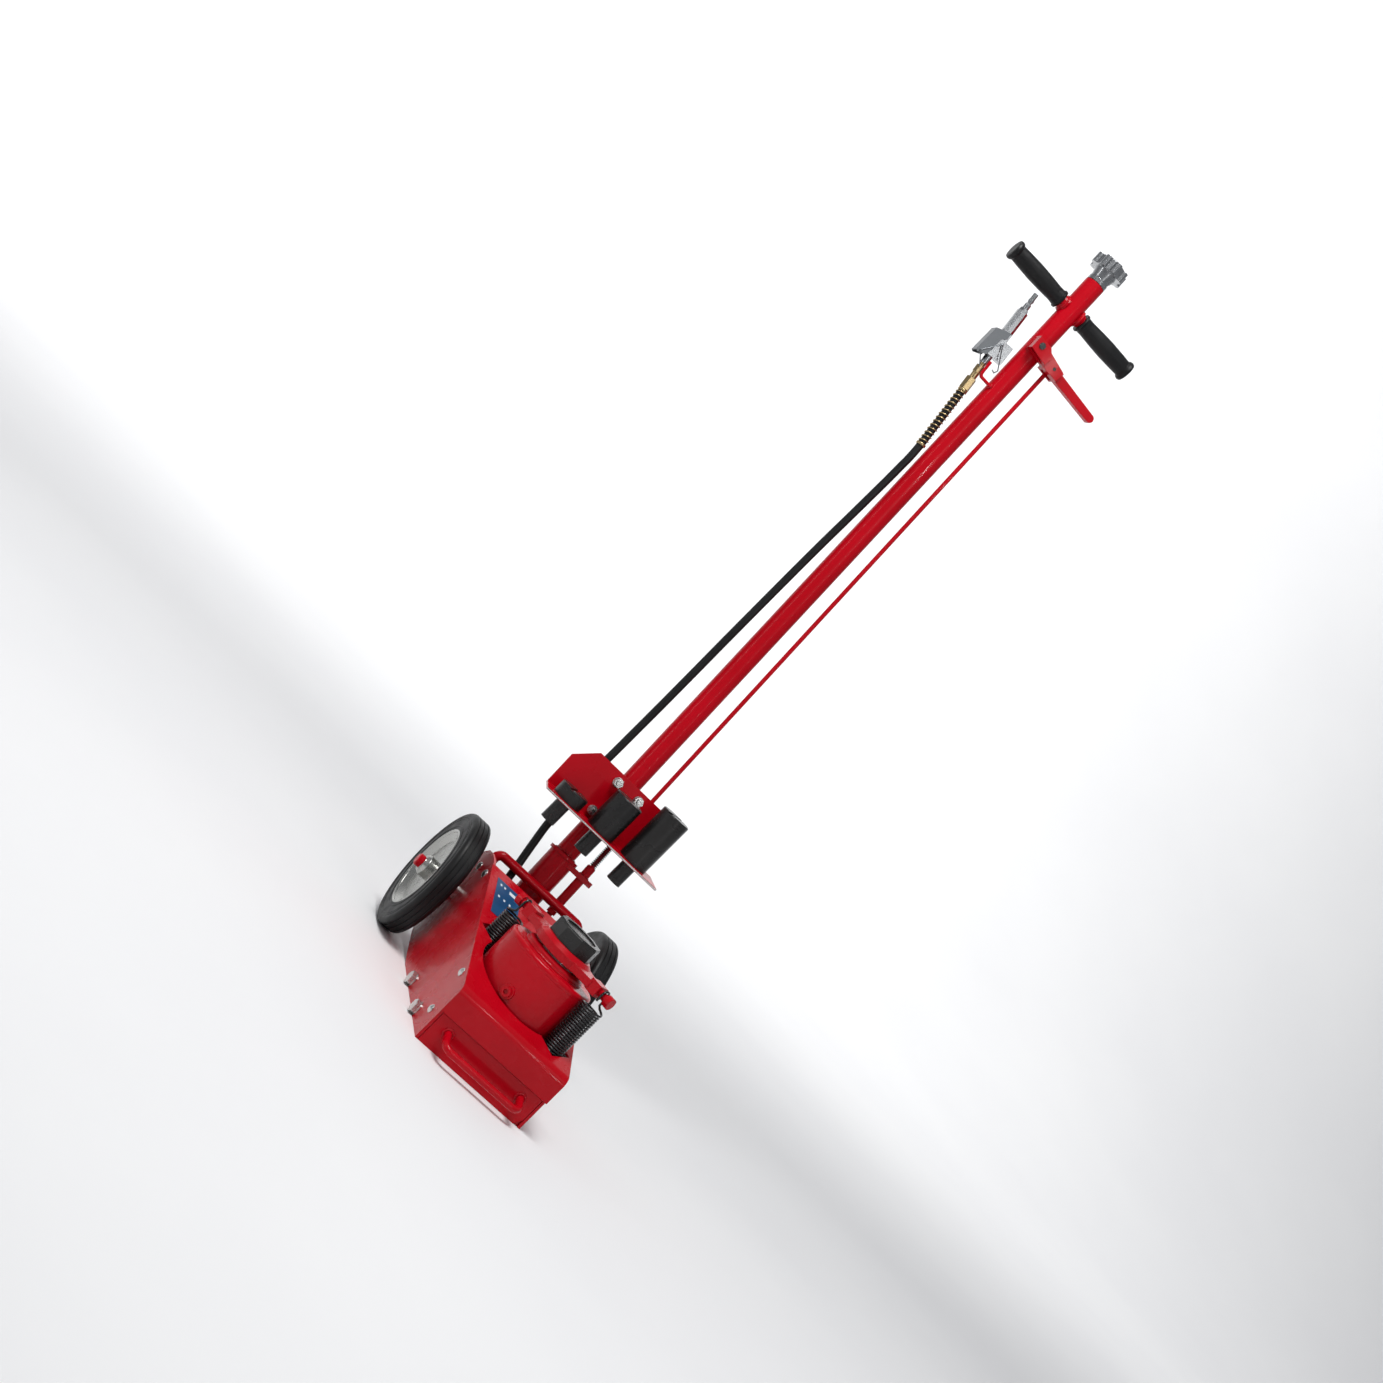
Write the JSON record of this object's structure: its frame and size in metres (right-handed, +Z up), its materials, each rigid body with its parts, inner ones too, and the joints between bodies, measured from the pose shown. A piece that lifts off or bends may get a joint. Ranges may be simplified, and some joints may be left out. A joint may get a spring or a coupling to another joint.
{
  "type": "air-hydraulic truck jack",
  "caption": "Wheeled air-hydraulic bottle-type truck jack with a long lockable T-handle, a remote air valve on a hose and saddle extensions in a rack.",
  "frame": {"origin": "on the floor, on the ram's axis, with the jack standing on its base", "axes": "+Z up along the ram; +Y from the ram to the handle and wheels (rear); +X to the right as seen from the front"},
  "size_m": [0.3168, 0.6522, 1.4063],
  "materials": {
    "red_paint": "gloss paint",
    "black_paint": "satin black paint",
    "zinc": "bright zinc plate",
    "chrome_rod": "polished",
    "cast": "machined and phosphated",
    "alloy": "die cast, lightly brushed",
    "brass": "turned",
    "rim": "silver paint",
    "tyre": "matt",
    "grip": "matt",
    "hose": "matt",
    "label": "printed film",
    "spring": "black oxide"
  },
  "bodies": {
    "chassis": {"base_plate": "red_paint", "side_panel_left": "red_paint", "side_panel_right": "red_paint", "top_cover": "red_paint", "front_plate": "red_paint", "carry_handle": "red_paint", "guard_bar": "red_paint", "axle": "zinc", "axle_caps": "red_paint", "lock_quadrant": "red_paint", "base_bolts": "zinc", "panel_screws": "zinc", "label_plate": "label", "cylinder_body": "red_paint", "tank_cap": "red_paint", "gland_nut": "red_paint", "filler_plug": "red_paint", "spring_anchors": "zinc", "return_spring_left": "spring", "return_spring_right": "spring", "pump_block": "cast", "air_motor": "cast", "inlet_fitting": "brass"},
    "ram": {"ram_piston": "chrome_rod", "cross_bar": "red_paint", "saddle": "black_paint"},
    "air_piston": {"air_piston": "zinc"},
    "release_spindle": {"release_spindle": "zinc"},
    "wheel_left": {"tyre_left": "tyre", "hub_left": "rim"},
    "wheel_right": {"tyre_right": "tyre", "hub_right": "rim"},
    "handle": {"handle_socket": "red_paint", "handle_tube": "red_paint", "handlebars": "red_paint", "grips": "grip", "rod_bush": "alloy", "tool_rack": "red_paint", "u_bolts": "zinc", "u_bolt_nuts": "zinc", "lock_guide": "red_paint", "lock_spring": "spring", "lever_bracket": "red_paint", "lever_pivot_pin": "zinc", "valve_hook": "red_paint", "brass_fitting": "brass", "spring_guard": "brass", "hose": "hose", "valve_body": "alloy", "air_plug": "alloy"},
    "release_knob": {"release_knob": "alloy", "release_rod": "zinc"},
    "lock_rod": {"lock_rod": "red_paint"},
    "lock_lever": {"lock_lever": "red_paint", "lever_rod_pin": "zinc"},
    "valve_trigger": {"valve_trigger": "cast"},
    "safety_wire": {"safety_wire": "zinc"},
    "adapter_short": {"adapter_short": "black_paint"},
    "adapter_medium": {"adapter_medium": "black_paint"},
    "adapter_tall": {"adapter_tall": "black_paint"}
  },
  "joints": [
    {"name": "handle_pivot", "type": "hinge", "parent": "chassis", "child": "handle", "pos_m": [0, 0.28, 0.1], "axis": [-1, 0, 0], "range_deg": [0, 75], "deforming": ["hose"]},
    {"name": "ram_slide", "type": "slide", "parent": "chassis", "child": "ram", "axis": [0, 0, 1], "range_m": [0, 0.125], "deforming": ["return_spring_left", "return_spring_right"]},
    {"name": "wheel_left_spin", "type": "hinge", "parent": "chassis", "child": "wheel_left", "pos_m": [-0.1265, 0.28, 0.1], "axis": [1, 0, 0], "continuous": true},
    {"name": "wheel_right_spin", "type": "hinge", "parent": "chassis", "child": "wheel_right", "pos_m": [0.1265, 0.28, 0.1], "axis": [1, 0, 0], "continuous": true},
    {"name": "air_piston_slide", "type": "slide", "parent": "chassis", "child": "air_piston", "axis": [0, 1, 0], "range_m": [0, 0.012]},
    {"name": "release_knob_turn", "type": "hinge", "parent": "handle", "child": "release_knob", "pos_m": [0, 0.47542, 1.36244], "axis": [0, 0.1349, 0.9909], "range_deg": [0, 360]},
    {"name": "release_spindle_turn", "type": "hinge", "parent": "chassis", "child": "release_spindle", "pos_m": [0.028, 0.14, 0.052], "axis": [0, 1, 0], "range_deg": [0, 360]},
    {"name": "lock_lever_lift", "type": "hinge", "parent": "handle", "child": "lock_lever", "pos_m": [-0.0035, 0.43404, 1.23637], "axis": [0, -0.9909, 0.1349], "range_deg": [0, 17], "stiffness_Nm_per_rad": 1, "springref_deg": -34.38},
    {"name": "lock_rod_pull", "type": "slide", "parent": "handle", "child": "lock_rod", "axis": [-0.0052, 0.1348, 0.9909], "range_m": [0, 0.0116], "deforming": ["lock_spring"]},
    {"name": "valve_trigger_press", "type": "hinge", "parent": "handle", "child": "valve_trigger", "pos_m": [-0.04748, 0.45527, 1.21165], "axis": [-0.013, -0.991, 0.1334], "range_deg": [0, 9], "stiffness_Nm_per_rad": 0.5, "springref_deg": -17.19},
    {"name": "safety_wire_swing", "type": "hinge", "parent": "handle", "child": "safety_wire", "pos_m": [-0.04319, 0.44335, 1.19848], "axis": [0.013, 0.991, -0.1334], "range_deg": [0, 8], "stiffness_Nm_per_rad": 0.05, "springref_deg": -17.19},
    {"name": "adapter_short_lift", "type": "slide", "parent": "handle", "child": "adapter_short", "axis": [0, 0, 1], "range_m": [0, 0.05]},
    {"name": "adapter_medium_lift", "type": "slide", "parent": "handle", "child": "adapter_medium", "axis": [0, 0, 1], "range_m": [0, 0.05]},
    {"name": "adapter_tall_lift", "type": "slide", "parent": "handle", "child": "adapter_tall", "axis": [0, 0, 1], "range_m": [0, 0.05]}
  ],
  "couplings": [
    {"joint": "lock_rod_pull", "follows": "lock_lever_lift", "m_per_rad": 0.0387},
    {"joint": "release_spindle_turn", "follows": "release_knob_turn", "ratio": 1}
  ]
}
